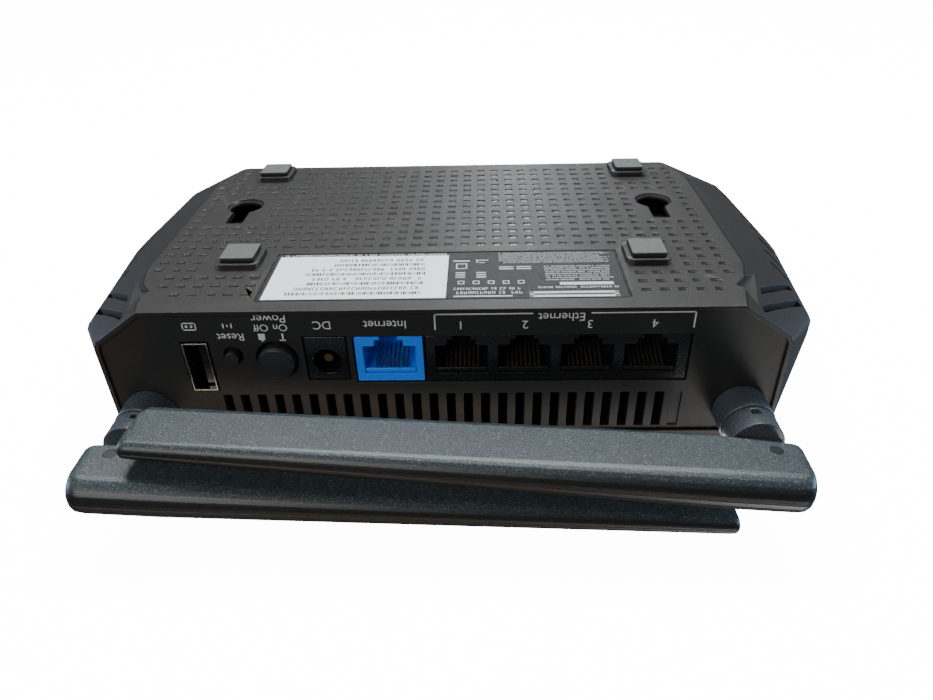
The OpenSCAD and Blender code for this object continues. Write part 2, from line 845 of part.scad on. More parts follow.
bottom_case();
top_case();
rear_panel();
case_screws();
foot(-front_feet_w / 2, -feet_d / 2);  // foot_front_left
foot(front_feet_w / 2, -feet_d / 2);  // foot_front_right
foot(-rear_feet_w / 2, feet_d / 2);  // foot_rear_left
foot(rear_feet_w / 2, feet_d / 2);  // foot_rear_right
rating_label();
serial_sticker();
main_board();
board_screws();
soc_chip();
thermal_pad();
heat_sink();
ram_chip();
flash_chip();
radio_chip();
radio_shield();
lan_transformers();
power_inductor();
capacitors();
status_leds();
light_guide();
antenna_connectors();
lan_jack_housing();
lan_jack_contacts();
wan_jack_housing();
wan_jack_contacts();
dc_jack_housing();
dc_jack_pin();
usb_shell();
usb_tongue();
power_switch();
power_button();
reset_switch();
reset_button();
collar(-1);  // left_collar
swivel(-1);  // left_swivel
swivel_clip(-1);  // left_swivel_clip
fold_pin(-1);  // left_fold_pin
blade_half(-1, -1);  // left_blade_lower
blade_half(-1, 1);  // left_blade_upper
radiator(-1);  // left_radiator
coax(-1);  // left_coax
collar(1);  // right_collar
swivel(1);  // right_swivel
swivel_clip(1);  // right_swivel_clip
fold_pin(1);  // right_fold_pin
blade_half(1, -1);  // right_blade_lower
blade_half(1, 1);  // right_blade_upper
radiator(1);  // right_radiator
coax(1);  // right_coax
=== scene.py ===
import json
import math
import random

import bmesh
import bpy
from mathutils import Matrix, Vector
from mathutils.kdtree import KDTree


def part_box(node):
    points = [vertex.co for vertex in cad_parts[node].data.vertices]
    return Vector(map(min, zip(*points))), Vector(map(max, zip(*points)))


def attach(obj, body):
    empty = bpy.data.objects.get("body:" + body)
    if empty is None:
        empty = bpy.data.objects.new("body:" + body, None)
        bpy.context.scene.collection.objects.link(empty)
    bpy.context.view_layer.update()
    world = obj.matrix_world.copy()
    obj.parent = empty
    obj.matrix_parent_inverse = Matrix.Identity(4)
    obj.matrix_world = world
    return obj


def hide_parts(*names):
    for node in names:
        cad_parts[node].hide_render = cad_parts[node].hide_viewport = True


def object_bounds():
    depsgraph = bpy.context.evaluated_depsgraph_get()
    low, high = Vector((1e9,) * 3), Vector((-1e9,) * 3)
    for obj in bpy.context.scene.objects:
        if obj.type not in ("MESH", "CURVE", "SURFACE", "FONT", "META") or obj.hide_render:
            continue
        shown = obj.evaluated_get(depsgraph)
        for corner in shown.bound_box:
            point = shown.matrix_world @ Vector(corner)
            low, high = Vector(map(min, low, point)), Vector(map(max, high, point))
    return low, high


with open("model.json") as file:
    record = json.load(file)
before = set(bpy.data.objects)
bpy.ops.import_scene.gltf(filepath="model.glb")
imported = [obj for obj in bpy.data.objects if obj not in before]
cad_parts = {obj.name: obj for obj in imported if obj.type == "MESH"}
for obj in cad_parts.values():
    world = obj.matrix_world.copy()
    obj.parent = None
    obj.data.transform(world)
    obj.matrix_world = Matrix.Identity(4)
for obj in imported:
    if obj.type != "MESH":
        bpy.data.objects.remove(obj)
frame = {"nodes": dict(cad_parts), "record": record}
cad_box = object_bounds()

MM = 0.001
scene = bpy.context.scene
nodes = frame["nodes"]
mount = {m["name"]: Vector(m["pos_m"]) for m in frame["record"]["mounts"]}

# ---- camera ----

# the router is looked at from behind and below, 150 mm from its rear panel
RIGHT = Vector((0.9996225, -0.0160826, 0.0222763))
DOWN = Vector((-0.0095826, 0.5557924, 0.8312659))
AHEAD = Vector((-0.0257499, -0.8311656, 0.5554284))
EYE = Vector((0.0100, 0.18463, -0.07456))

camera_data = bpy.data.cameras.new("camera")
camera_data.sensor_width = 36
camera_data.lens = 27.603
camera_data.clip_start = 0.002
camera_data.clip_end = 20
camera = bpy.data.objects.new("camera", camera_data)
scene.collection.objects.link(camera)
axes = Matrix((RIGHT, -DOWN, -AHEAD)).transposed().to_4x4()
camera.matrix_world = Matrix.Translation(EYE) @ axes
scene.camera = camera

# ---- measures taken from the frame, in metres ----

panel_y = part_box("rear_panel")[1].y
base_z = mount["wall_keyholes"].z
top_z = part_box("top_case")[1].z
label_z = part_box("rating_label")[0].z
sticker_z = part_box("serial_sticker")[0].z
lan_x = [mount["lan_socket_%d" % (i + 1)].x for i in range(4)]
wan_x = mount["wan_socket"].x
dc_x = mount["power_inlet"].x
usb_x = mount["usb_socket"].x


# ---- modelling tools ----

def take(piece):
    """Selects one piece alone and makes it the active one."""
    bpy.ops.object.select_all(action="DESELECT")
    piece.select_set(True)
    bpy.context.view_layer.objects.active = piece


def settle(piece, name):
    """Names a piece and moves its place, turn and size into its mesh."""
    take(piece)
    bpy.ops.object.transform_apply(location=True, rotation=True, scale=True)
    piece.name = name
    return piece


def shell_of(node, name, join_flats=True):
    """A copy of a CAD node's shell, with its doubles merged and its flat faces joined."""
    piece = bpy.data.objects.new(name, nodes[node].data.copy())
    scene.collection.objects.link(piece)
    take(piece)
    bpy.ops.object.mode_set(mode="EDIT")
    bpy.ops.mesh.select_all(action="SELECT")
    bpy.ops.mesh.remove_doubles(threshold=0.01 * MM)
    if join_flats:
        bpy.ops.mesh.dissolve_limited(angle_limit=math.radians(0.5))
    bpy.ops.object.mode_set(mode="OBJECT")
    return piece


def finish_with(piece, kind, **settings):
    """Adds a modifier and applies it."""
    take(piece)
    modifier = piece.modifiers.new(kind.lower(), kind)
    for key, value in settings.items():
        setattr(modifier, key, value)
    bpy.ops.object.modifier_apply(modifier=modifier.name)


def soften(piece, width, segments=2):
    """Rounds the sharp edges and shades the rest smooth."""
    finish_with(piece, "BEVEL", width=width * MM, segments=segments, limit_method="ANGLE",
                angle_limit=math.radians(30), use_clamp_overlap=False)
    shade(piece)


def shade(piece):
    """Shades a piece smooth, with its flat faces kept flat up to their rounded edges."""
    take(piece)
    bpy.ops.object.shade_smooth_by_angle(angle=math.radians(40))
    finish_with(piece, "WEIGHTED_NORMAL", mode="FACE_AREA", weight=100, keep_sharp=True)


def join_as(name, pieces):
    """Joins the pieces to the last of them."""
    bpy.ops.object.select_all(action="DESELECT")
    for piece in pieces:
        piece.select_set(True)
    bpy.context.view_layer.objects.active = pieces[-1]
    bpy.ops.object.join()
    bpy.context.object.name = name
    return bpy.context.object


def repeat(model, name, places):
    """Copies of one modelled shape at each place, joined as one piece."""
    twins = []
    for place in places:
        twin = bpy.data.objects.new(name, model.data.copy())
        scene.collection.objects.link(twin)
        twin.data.transform(place)
        twins.append(twin)
    joined = join_as(name, twins)
    bpy.data.objects.remove(model)
    return joined


def block(name, size, centre=(0, 0, 0)):
    """A plain box of that size, in metres."""
    bpy.ops.object.select_all(action="DESELECT")
    bpy.ops.mesh.primitive_cube_add(size=1, location=centre)
    bpy.context.object.scale = size
    return settle(bpy.context.object, name)


# ---- materials ----

def linear(hex_colour):
    """An sRGB hex colour as linear RGBA."""
    parts = [int(hex_colour[i:i + 2], 16) / 255 for i in (1, 3, 5)]
    return [c / 12.92 if c <= 0.04045 else ((c + 0.055) / 1.055) ** 2.4 for c in parts] + [1.0]


def add(tree, kind, settings=None, inputs=None):
    """Adds a shader node, with its settings, and its inputs set or linked."""
    made = tree.nodes.new(kind)
    for key, value in (settings or {}).items():
        setattr(made, key, value)
    for key, value in (inputs or {}).items():
        if isinstance(value, bpy.types.NodeSocket):
            tree.links.new(value, made.inputs[key])
        else:
            made.inputs[key].default_value = value
    return made


def surface(name):
    """A new material, its empty tree, and the place on the piece that its textures follow."""
    material = bpy.data.materials.new(name)
    material.use_nodes = True
    tree = material.node_tree
    tree.nodes.clear()
    place = add(tree, "ShaderNodeTexCoord").outputs["Object"]
    return material, tree, place


def close(material, tree, inputs):
    """Ends a material's tree with its shader."""
    shader = add(tree, "ShaderNodeBsdfPrincipled", inputs=inputs)
    add(tree, "ShaderNodeOutputMaterial", inputs={"Surface": shader.outputs["BSDF"]})
    return material


def moulded(name, dark, light, roughness, grain, relief, cloud=18, edge=None, side=None, coat=0.0,
            spark=None, polished=None):
    """Moulded plastic: a spark-eroded grain of that size in mm, slow changes of colour,
    edges that handling has rubbed lighter, walls painted darker than the faces that lie flat
    as painted shade, painted glints of a lighter colour on the grain's high points, and a smoother finish
    between two heights."""
    material, tree, place = surface(name)
    slow = add(tree, "ShaderNodeTexNoise", inputs={"Vector": place, "Scale": 1 / (cloud * MM), "Detail": 3.0})
    tone = add(tree, "ShaderNodeMix", {"data_type": "RGBA"},
               {"Factor": slow.outputs["Fac"], 6: linear(dark), 7: linear(light)})
    colour = tone.outputs[2]
    if edge:
        worn = add(tree, "ShaderNodeMapRange", inputs={
            "Value": add(tree, "ShaderNodeNewGeometry").outputs["Pointiness"],
            "From Min": 0.53, "From Max": 0.62, "To Min": 0.0, "To Max": 0.45})
        colour = add(tree, "ShaderNodeMix", {"data_type": "RGBA"},
                     {"Factor": worn.outputs["Result"], 6: colour, 7: linear(edge)}).outputs[2]
    fine = add(tree, "ShaderNodeTexNoise", inputs={
        "Vector": place, "Scale": 1 / (grain * MM), "Detail": 2.0, "Roughness": 0.6})
    rough = add(tree, "ShaderNodeMapRange", inputs={
        "Value": fine.outputs["Fac"], "From Min": 0.3, "From Max": 0.7,
        "To Min": roughness - 0.07, "To Max": roughness + 0.07}).outputs["Result"]
    # painted glints: the high points of the grain turn towards the lighter spark colour, lit or not
    if spark:
        painted_glint_mask = add(tree, "ShaderNodeMapRange", inputs={
            "Value": fine.outputs["Fac"], "From Min": 0.56, "From Max": 0.68, "To Min": 0.0, "To Max": 0.8})
        colour = add(tree, "ShaderNodeMix", {"data_type": "RGBA"},
                     {"Factor": painted_glint_mask.outputs["Result"], 6: colour, 7: linear(spark)}).outputs[2]
    # painted shade: faces that turn sideways take the darker side colour, as if in shade, whatever the lamps
    # do
    if side:
        normal = add(tree, "ShaderNodeTexCoord").outputs["Normal"]
        upright = add(tree, "ShaderNodeSeparateXYZ", inputs={"Vector": normal}).outputs["Z"]
        flat = add(tree, "ShaderNodeMath", {"operation": "ABSOLUTE"}, {0: upright}).outputs[0]
        painted_wall_shade_mix = add(tree, "ShaderNodeMapRange", inputs={
            "Value": flat, "From Min": 0.55, "From Max": 0.9, "To Min": 0.0, "To Max": 1.0})
        colour = add(tree, "ShaderNodeMix", {"data_type": "RGBA"},
                     {"Factor": painted_wall_shade_mix.outputs["Result"], 6: linear(side), 7: colour}).outputs[2]
    if polished:
        height = add(tree, "ShaderNodeSeparateXYZ", inputs={"Vector": place}).outputs["Z"]
        above = add(tree, "ShaderNodeMath", {"operation": "GREATER_THAN"}, {0: height, 1: polished[0]})
        below = add(tree, "ShaderNodeMath", {"operation": "LESS_THAN"}, {0: height, 1: polished[1]})
        within = add(tree, "ShaderNodeMath", {"operation": "MULTIPLY"},
                     {0: above.outputs[0], 1: below.outputs[0]}).outputs[0]
        rough = add(tree, "ShaderNodeMix", {"data_type": "FLOAT"}, {0: within, 2: rough, 3: 0.24}).outputs[0]
    bump = add(tree, "ShaderNodeBump", inputs={
        "Height": fine.outputs["Fac"], "Distance": relief * MM, "Strength": 1.0})
    return close(material, tree, {
        "Base Color": colour, "Roughness": rough, "IOR": 1.5,
        "Normal": bump.outputs["Normal"], "Coat Weight": coat, "Coat Roughness": 0.15})


def metal(name, dark, light, roughness, scratch, along=(1, 1, 1)):
    """Plated or drawn metal with fine marks that run along one direction."""
    material, tree, place = surface(name)
    turned = add(tree, "ShaderNodeMapping", inputs={"Vector": place, "Scale": along})
    marks = add(tree, "ShaderNodeTexNoise", inputs={
        "Vector": turned.outputs["Vector"], "Scale": 1 / (scratch * MM), "Detail": 4.0})
    tone = add(tree, "ShaderNodeMix", {"data_type": "RGBA"},
               {"Factor": marks.outputs["Fac"], 6: linear(dark), 7: linear(light)})
    rough = add(tree, "ShaderNodeMapRange", inputs={
        "Value": marks.outputs["Fac"], "To Min": roughness - 0.06, "To Max": roughness + 0.1})
    bump = add(tree, "ShaderNodeBump", inputs={
        "Height": marks.outputs["Fac"], "Distance": 0.01 * MM, "Strength": 0.6})
    return close(material, tree, {
        "Base Color": tone.outputs[2], "Roughness": rough.outputs["Result"], "Metallic": 1.0,
        "Normal": bump.outputs["Normal"]})


# ABS with a satin spark-eroded grain: a warm grey sheen where light grazes it
case_abs = moulded("satin_abs_warm_black", "#1b1917", "#23201d", 0.48, 0.35, 0.03, edge="#4a453f",
                   polished=(base_z + 0.08 * MM, base_z + 0.4 * MM))
# the same ABS on the outer flanks and top, duller
top_abs = moulded("matt_abs_black", "#1c2023", "#252a2d", 0.46, 0.4, 0.04, edge="#454b4f")
# polished less, so the panel stays the darkest plane
panel_abs = moulded("matt_abs_panel", "#171715", "#1c1c1a", 0.52, 0.3, 0.015)
# coarse grain with painted glints, bright points of a lighter colour on its high points, and its walls
# painted darker as painted shade
blade_abs = moulded("coarse_grain_abs_graphite", "#262e31", "#323b3e", 0.33, 0.24, 0.05,
                    side="#0c0f10", spark="#7d888b")
# smooth pivot plastic, a little waxy
pivot_abs = moulded("satin_acetal_black", "#3a3f44", "#464b50", 0.3, 0.5, 0.004)
# the fold pins and buttons, tighter in their sheen
pin_acetal = moulded("satin_acetal_pin", "#121416", "#1a1d1f", 0.34, 0.5, 0.006)
button_abs = moulded("satin_abs_button", "#202123", "#292b2d", 0.36, 0.3, 0.01)
# soft grey rubber, chalky where it rubs the table, its walls painted darker as painted shade
pad_rubber = moulded("die_cut_rubber_grey", "#4e514d", "#666a64", 0.72, 0.35, 0.12, cloud=2, side="#1c1d1d")
# glass-filled polyester of the sockets, glossy and almost black
socket_black = moulded("glossy_pbt_black", "#111214", "#18191b", 0.24, 0.6, 0.003)
socket_blue = moulded("glossy_pbt_blue", "#0078ff", "#1488ff", 0.3, 0.6, 0.003)
# labels and the inks on them
label_film = moulded("printed_polyester_film_black", "#0b0b0b", "#100f0f", 0.62, 0.8, 0.002)
sticker_paper = moulded("coated_paper_white", "#fcfcfb", "#ffffff", 0.5, 0.25, 0.004)
white_ink = moulded("screen_print_ink_white", "#bfc2c0", "#d6d9d7", 0.55, 0.3, 0.004)
black_ink = moulded("thermal_print_ink_black", "#0c0d0f", "#16181a", 0.6, 0.3, 0.002)
# what is inside the case
board_epoxy = moulded("solder_mask_black", "#0a0d0b", "#101411", 0.4, 0.9, 0.02, coat=0.2)
chip_epoxy = moulded("moulded_epoxy_black", "#17181a", "#202224", 0.55, 0.15, 0.01)
gap_silicone = moulded("silicone_pad_blue_grey", "#8498a8", "#93a6b4", 0.75, 0.4, 0.02)
sleeve_pvc = moulded("shrink_sleeve_blue", "#22344c", "#2c4260", 0.3, 0.5, 0.01)
led_resin = moulded("led_resin_cream", "#dcdcc8", "#eeeedd", 0.3, 0.5, 0.005)
guide_acrylic = moulded("frosted_acrylic_guide", "#aab6ba", "#c3ced1", 0.35, 0.3, 0.01)
coax_pvc = moulded("extruded_pvc_black", "#131415", "#1b1c1e", 0.4, 0.4, 0.01)
# metals
gold = metal("gold_flash_bronze", "#d9caa2", "#fff6dc", 0.3, 0.3, (4, 1, 4))
nickel = metal("nickel_plated_steel", "#8e9092", "#c9c6bd", 0.22, 0.4, (3, 1, 3))
bronze = metal("tin_bronze_pin", "#8f7a57", "#c2ac83", 0.3, 0.3)
zinc = metal("zinc_plated_steel", "#83868a", "#a9acb0", 0.35, 0.3)
fin_aluminium = metal("extruded_aluminium", "#a9acaf", "#c7cacc", 0.35, 0.3, (4, 1, 4))
copper = metal("rolled_copper", "#a85f35", "#d08a58", 0.3, 0.4, (1, 4, 4))


def dress(piece, material, slot, body, *stands_for):
    """Gives a modelled piece its material and its body; the slot argument is not used."""
    piece.data.materials.clear()
    piece.data.materials.append(material)
    for face in piece.data.polygons:
        face.material_index = 0
    if stands_for:
        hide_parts(*stands_for)
    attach(piece, body)


KEPT = {
    "case_screws": zinc, "board_screws": zinc, "radio_shield": zinc,
    "left_swivel_clip": zinc, "right_swivel_clip": zinc,
    "main_board": board_epoxy, "soc_chip": chip_epoxy, "ram_chip": chip_epoxy,
    "flash_chip": chip_epoxy, "radio_chip": chip_epoxy, "lan_transformers": chip_epoxy,
    "power_inductor": chip_epoxy, "thermal_pad": gap_silicone, "heat_sink": fin_aluminium,
    "capacitors": sleeve_pvc, "status_leds": led_resin, "light_guide": guide_acrylic,
    "antenna_connectors": gold, "lan_jack_contacts": gold, "wan_jack_contacts": gold,
    "dc_jack_pin": bronze, "usb_tongue": socket_black, "power_switch": chip_epoxy,
    "reset_switch": chip_epoxy, "left_coax": coax_pvc, "right_coax": coax_pvc,
    "left_radiator": copper, "right_radiator": copper,
    "rating_label": label_film, "serial_sticker": sticker_paper,
    "left_fold_pin": pin_acetal, "right_fold_pin": pin_acetal,
}
for node, material in KEPT.items():
    for held in nodes[node].material_slots:
        held.material = material

# ---- underside with its pockets ----

# in mm, with x from the middle and y forward of the panel as a negative number
POCKET_PITCH = Vector((4.04, 4.02))
POCKET = Vector((2.0, 1.35))
FIRST_ROW = 7.24
LAST_ROW_Y = -87.6
BOSS_HALF = 5.3
OUTLINE_RIM = 1.9
STEP_Y = -9.2
STEP_HALF = 65.1
CORNER = (66, -83)
LABEL_RECESS = (-42.9, 44.2, -29.0)
KEYHOLE_X = 57.3
KEYHOLE_Y = -58.5
KEYHOLE_HALF = 6.6
KEYHOLE_SLOT = 13.4
feet = [sum(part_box(n), Vector()) / 2 for n in nodes if n.startswith("foot_")]


def clear_of_fittings(x, y):
    """True where a pocket leaves a rim around the pads, keyholes, label and outline."""
    half = STEP_HALF if y > STEP_Y else min(71.0, 65.7 + (STEP_Y - y) * 0.525)
    if abs(x) + POCKET.x / 2 > half - OUTLINE_RIM or y < LAST_ROW_Y:
        return False
    if abs(x) > CORNER[0] and y < CORNER[1]:
        return False
    if LABEL_RECESS[0] < x < LABEL_RECESS[1] and y > LABEL_RECESS[2]:
        return False
    for foot in feet:
        if abs(x - foot.x / MM) < BOSS_HALF + 2.1 and abs(y + panel_y / MM - foot.y / MM) < BOSS_HALF + 1.7:
            return False
    beside_keyhole = abs(abs(x) - KEYHOLE_X) < KEYHOLE_HALF
    return not (beside_keyhole and -KEYHOLE_HALF < y - KEYHOLE_Y < KEYHOLE_SLOT)


def pocket_tool():
    """A tapered punch whose mouth flares, so that each pocket has an eased lip."""
    tool = block("pocket_tool", (POCKET.x * MM, POCKET.y * MM, 0.05 * MM), (0, 0, 0.2 * MM))
    take(tool)
    for direction, rise, spread in ((1, 0.03, 0.8), (-1, -0.13, 1.12), (-1, -0.1, 1.1)):
        bpy.ops.object.mode_set(mode="EDIT")
        bpy.ops.mesh.select_all(action="DESELECT")
        bpy.ops.object.mode_set(mode="OBJECT")
        for face in tool.data.polygons:
            face.select = face.normal.z * direction > 0.9
        bpy.ops.object.mode_set(mode="EDIT")
        bpy.ops.mesh.select_mode(type="FACE")
        bpy.ops.mesh.extrude_region_move(TRANSFORM_OT_translate={"value": (0, 0, rise * MM)})
        bpy.ops.transform.resize(value=(spread, spread, 1))
        bpy.ops.object.mode_set(mode="OBJECT")
    return tool


def ease_outline(piece, places, lip, width):
    """Rounds the moulded edges, and leaves alone the lips of that size around those places."""
    middles = KDTree(len(places))
    for i, place in enumerate(places):
        middles.insert(place.translation, i)
    middles.balance()
    work = bmesh.new()
    work.from_mesh(piece.data)
    weight = work.edges.layers.float.new("bevel_weight_edge")
    for edge in work.edges:
        middle = (edge.verts[0].co + edge.verts[1].co) / 2
        gap = middle - middles.find(middle)[0]
        on_lip = abs(gap.x) < lip.x and abs(gap.y) < lip.y and abs(gap.z) < 0.8 * MM
        if not on_lip and edge.calc_face_angle(0) > math.radians(20):
            edge[weight] = 1.0
    work.to_mesh(piece.data)
    work.free()
    finish_with(piece, "BEVEL", width=width * MM, segments=2, limit_method="WEIGHT",
                use_clamp_overlap=False)


def unfold(piece, level, facing):
    """Turns the longest edge of each triangle that the rounding folded over on the flat at a level."""
    work = bmesh.new()
    work.from_mesh(piece.data)
    bmesh.ops.triangulate(work, faces=[
        face for face in work.faces if all(abs(v.co.z - level) < 0.002 * MM for v in face.verts)])
    for _ in range(3):
        work.normal_update()
        folded = [face for face in work.faces if len(face.verts) == 3 and face.normal.z * facing < -0.2
                  and abs(face.calc_center_median().z - level) < 0.05 * MM]
        for face in folded:
            edge = max(face.edges, key=lambda side: side.calc_length())
            if all(len(beside.verts) == 3 for beside in edge.link_faces):
                bmesh.ops.rotate_edges(work, edges=[edge], use_ccw=True)
    work.to_mesh(piece.data)
    work.free()


CASE_EDGE = 0.12
underside = shell_of("bottom_case", "underside_shell", join_flats=False)
pockets = []
for column in range(-18, 19):
    for row in range(21):
        x = (column + 0.5) * POCKET_PITCH.x - 0.8
        y = -FIRST_ROW - POCKET_PITCH.y * row
        if clear_of_fittings(x, y):
            pockets.append(Matrix.Translation((x * MM, panel_y + y * MM, base_z)))
punches = repeat(pocket_tool(), "pocket_punches", pockets)
finish_with(underside, "BOOLEAN", operation="DIFFERENCE", solver="MANIFOLD", object=punches)
bpy.data.objects.remove(punches)
ease_outline(underside, pockets, 0.7 * MM * POCKET, CASE_EDGE)
unfold(underside, base_z, -1)
shade(underside)
dress(underside, case_abs, "case_lower", "case", "bottom_case")

# ---- top, with its light windows left sharp ----

LIGHTS_PITCH = 8
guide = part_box("light_guide")
lights_y = (guide[0].y + guide[1].y) / 2
lights = [Matrix.Translation(((i - 3.5) * LIGHTS_PITCH * MM, lights_y, top_z)) for i in range(8)]
top = shell_of("top_case", "top_shell", join_flats=False)
ease_outline(top, lights, Vector((2.5, 2.5)) * MM, CASE_EDGE)
unfold(top, top_z, 1)
shade(top)
dress(top, top_abs, "case_upper", "case", "top_case")

# ---- shells, panel and sockets, with the edges that the mould leaves ----

# node, piece name, edge radius in mm, material, slot, body
SHELLS = [
    ("rear_panel", "socket_panel", 0.14, panel_abs, "panel", "case"),
    ("lan_jack_housing", "lan_socket_block", 0.12, socket_black, "lan_black", "case"),
    ("wan_jack_housing", "wan_socket_block", 0.12, socket_blue, "wan_blue", "case"),
    ("dc_jack_housing", "inlet_block", 0.15, socket_black, "lan_black", "case"),
    ("usb_shell", "usb_can", 0.08, nickel, "plated_steel", "case"),
    ("power_button", "power_cap", 0.35, button_abs, "button_plastic", "power_button_body"),
    ("reset_button", "reset_cap", 0.2, button_abs, "button_plastic", "reset_button_body"),
    ("left_collar", "left_collar_ring", 0.35, pivot_abs, "antenna_plastic", "case"),
    ("right_collar", "right_collar_ring", 0.35, pivot_abs, "antenna_plastic", "case"),
    ("left_swivel", "left_swivel_barrel", 0.25, pivot_abs, "antenna_plastic", "left_swivel_body"),
    ("right_swivel", "right_swivel_barrel", 0.25, pivot_abs, "antenna_plastic", "right_swivel_body"),
]
for side in ("left", "right"):
    for half in ("lower", "upper"):
        SHELLS.append((side + "_blade_" + half, side + "_antenna_" + half, 0.12, blade_abs,
                       "antenna_plastic", side + "_blade_body"))
for foot in ("front_left", "front_right", "rear_left", "rear_right"):
    SHELLS.append(("foot_" + foot, "pad_" + foot, 0.3, pad_rubber, "foot_rubber", "case"))
# the panel, full of openings, keeps its triangles
for node, name, radius, material, slot, body in SHELLS:
    piece = shell_of(node, name, join_flats=node != "rear_panel")
    soften(piece, radius)
    dress(piece, material, slot, body, node)

# ---- lips that the plugs ride over, at the roofs of the sockets ----

socket_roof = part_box("lan_jack_housing")[1].z - 2.0 * MM
for name, middles, material, slot in (
        ("lan_lips", lan_x, socket_black, "lan_black"), ("wan_lip", [wan_x], socket_blue, "wan_blue")):
    lip = block("lip", (11.4 * MM, 0.6 * MM, 1.1 * MM))
    soften(lip, 0.22, segments=4)
    roofs = [Matrix.Translation((x, panel_y - 0.75 * MM, socket_roof - 0.75 * MM)) for x in middles]
    dress(repeat(lip, name, roofs), material, slot, "case")

# ---- contacts on the upright tongue ----

strip = block("usb_strip", (0.12 * MM, 7 * MM, 1.1 * MM))
soften(strip, 0.04)
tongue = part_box("usb_tongue")
middle = (tongue[0] + tongue[1]) / 2
strips = repeat(strip, "usb_strips", [
    Matrix.Translation((usb_x + 0.06 * MM, middle.y + 1 * MM, middle.z + k * 2.4 * MM))
    for k in (-1.5, -0.5, 0.5, 1.5)])
dress(strips, gold, "gold_contact", "case")

# ---- panel print: plain words, numbers and marks ----

READ_UPRIGHT = Matrix(((-1, 0, 0), (0, 0, 1), (0, 1, 0))).to_4x4()
INK = 0.012


def lettering(text, height, place):
    """Printed words or numbers of a height in mm, centred on a place."""
    bpy.ops.object.select_all(action="DESELECT")
    bpy.ops.object.text_add()
    piece = bpy.context.object
    piece.data.body = text
    piece.data.size = height * MM
    piece.data.extrude = INK * MM
    piece.data.align_x = "CENTER"
    piece.data.align_y = "CENTER"
    take(piece)
    bpy.ops.object.convert(target="MESH")
    piece = bpy.context.object
    piece.data.transform(place)
    return piece


def words(text, x, z, height):
    """Words on the panel that read upright as the router stands on its feet."""
    return lettering(text, height, Matrix.Translation((x * MM, panel_y, z * MM)) @ READ_UPRIGHT)


def rule(x0, x1, z0, z1):
    """A printed rule on the panel."""
    return block("rule", ((x1 - x0) * MM, 2 * INK * MM, (z1 - z0) * MM),
                 ((x0 + x1) / 2 * MM, panel_y, (z0 + z1) / 2 * MM))


LINE = 0.32
prints = [
    words("Ethernet", 26.6, 5.0, 2.9), words("Internet", -11.6, 6.5, 2.9), words("DC", dc_x / MM, 6.5, 2.9),
    words("On", -34.6, 7.0, 2.5), words("Off", -38.8, 7.0, 2.5), words("Power", -36.8, 4.7, 2.9),
    words("Reset", -45.9, 9.3, 2.7),
    rule(-0.95, 20.4, 4.0, 4.0 + LINE), rule(32.8, 55.2, 4.0, 4.0 + LINE),
    rule(-0.95, -0.95 + LINE, 4.0, 8.1), rule(55.2 - LINE, 55.2, 4.0, 8.1),
    # marks beside the power button: a bar in, a block out
    rule(-34.6, -34.2, 8.6, 10.4), rule(-35.2, -33.8, 10.2, 10.5),
    rule(-39.8, -38.3, 8.6, 10.2), rule(-39.3, -38.8, 10.2, 10.6),
    # a plug seen on edge, by the upright socket
    rule(-56.2, -53.0, 5.6, 5.9), rule(-56.2, -53.0, 7.3, 7.6), rule(-56.2, -55.9, 5.6, 7.6),
    rule(-53.3, -53.0, 5.6, 7.6), rule(-55.4, -54.9, 6.3, 6.9), rule(-54.3, -53.8, 6.3, 6.9),
    # three strokes of signal, by the small button
    rule(-47.2, -46.9, 5.9, 7.1), rule(-46.3, -46.0, 6.2, 6.8), rule(-45.4, -45.1, 5.9, 7.1),
]
prints += [words(str(i + 1), x / MM, 6.85, 2.9) for i, x in enumerate(lan_x)]
dress(join_as("panel_print", prints), white_ink, "sticker_paper", "case")

# ---- labels: greeked lines, blocks and bars that say nothing ----

draw = random.Random(11)


def greeked_line(x0, x1, y, height, stroke=0.16):
    """Places for the strokes of one line of make-believe small print."""
    spots = []
    x = x0
    while x < x1 - height * 0.5:
        if draw.random() < 0.16:
            x += height * 0.5
            continue
        wide = height * draw.uniform(0.4, 0.65)
        spots.append((x, y, stroke, height))
        if draw.random() < 0.6:
            spots.append((x + wide - stroke, y, stroke, height))
        for level in draw.sample((-0.5, 0.0, 0.5), 2):
            spots.append((x, y + level * (height - stroke), wide, stroke))
        x += wide + height * 0.22
    return spots


def bars(x0, x1, y, height):
    """Places for a row of random bars."""
    spots = []
    x = x0
    while x < x1:
        wide = draw.choice((0.14, 0.14, 0.28, 0.42))
        spots.append((x, y, wide, height))
        x += wide + draw.choice((0.14, 0.2, 0.3))
    return spots


def printed(name, spots, z, material, slot):
    """Strokes of ink given as left, middle, width and height in mm, on a face at z."""
    dot = block("dot", (MM, MM, 0.02 * MM))
    finish_with(dot, "BEVEL", width=0.004 * MM, segments=1)
    strokes = [Matrix.Translation(((x + w / 2) * MM, panel_y + y * MM, z)) @ Matrix.Diagonal((w, h, 1, 1))
               for x, y, w, h in spots]
    dress(repeat(dot, name, strokes), material, slot, "case")


sticker = []
for i, reach in enumerate((28, 24, 25, 19)):
    y = -6.9 - 4.6 * i
    sticker += bars(-6.5 - reach, -4.0, y, 1.3)
    sticker += greeked_line(-5.5 - reach, -4.0, y - 2.25, 1.3, 0.22)

printed("sticker_print", sticker, sticker_z, black_ink, "label_film")

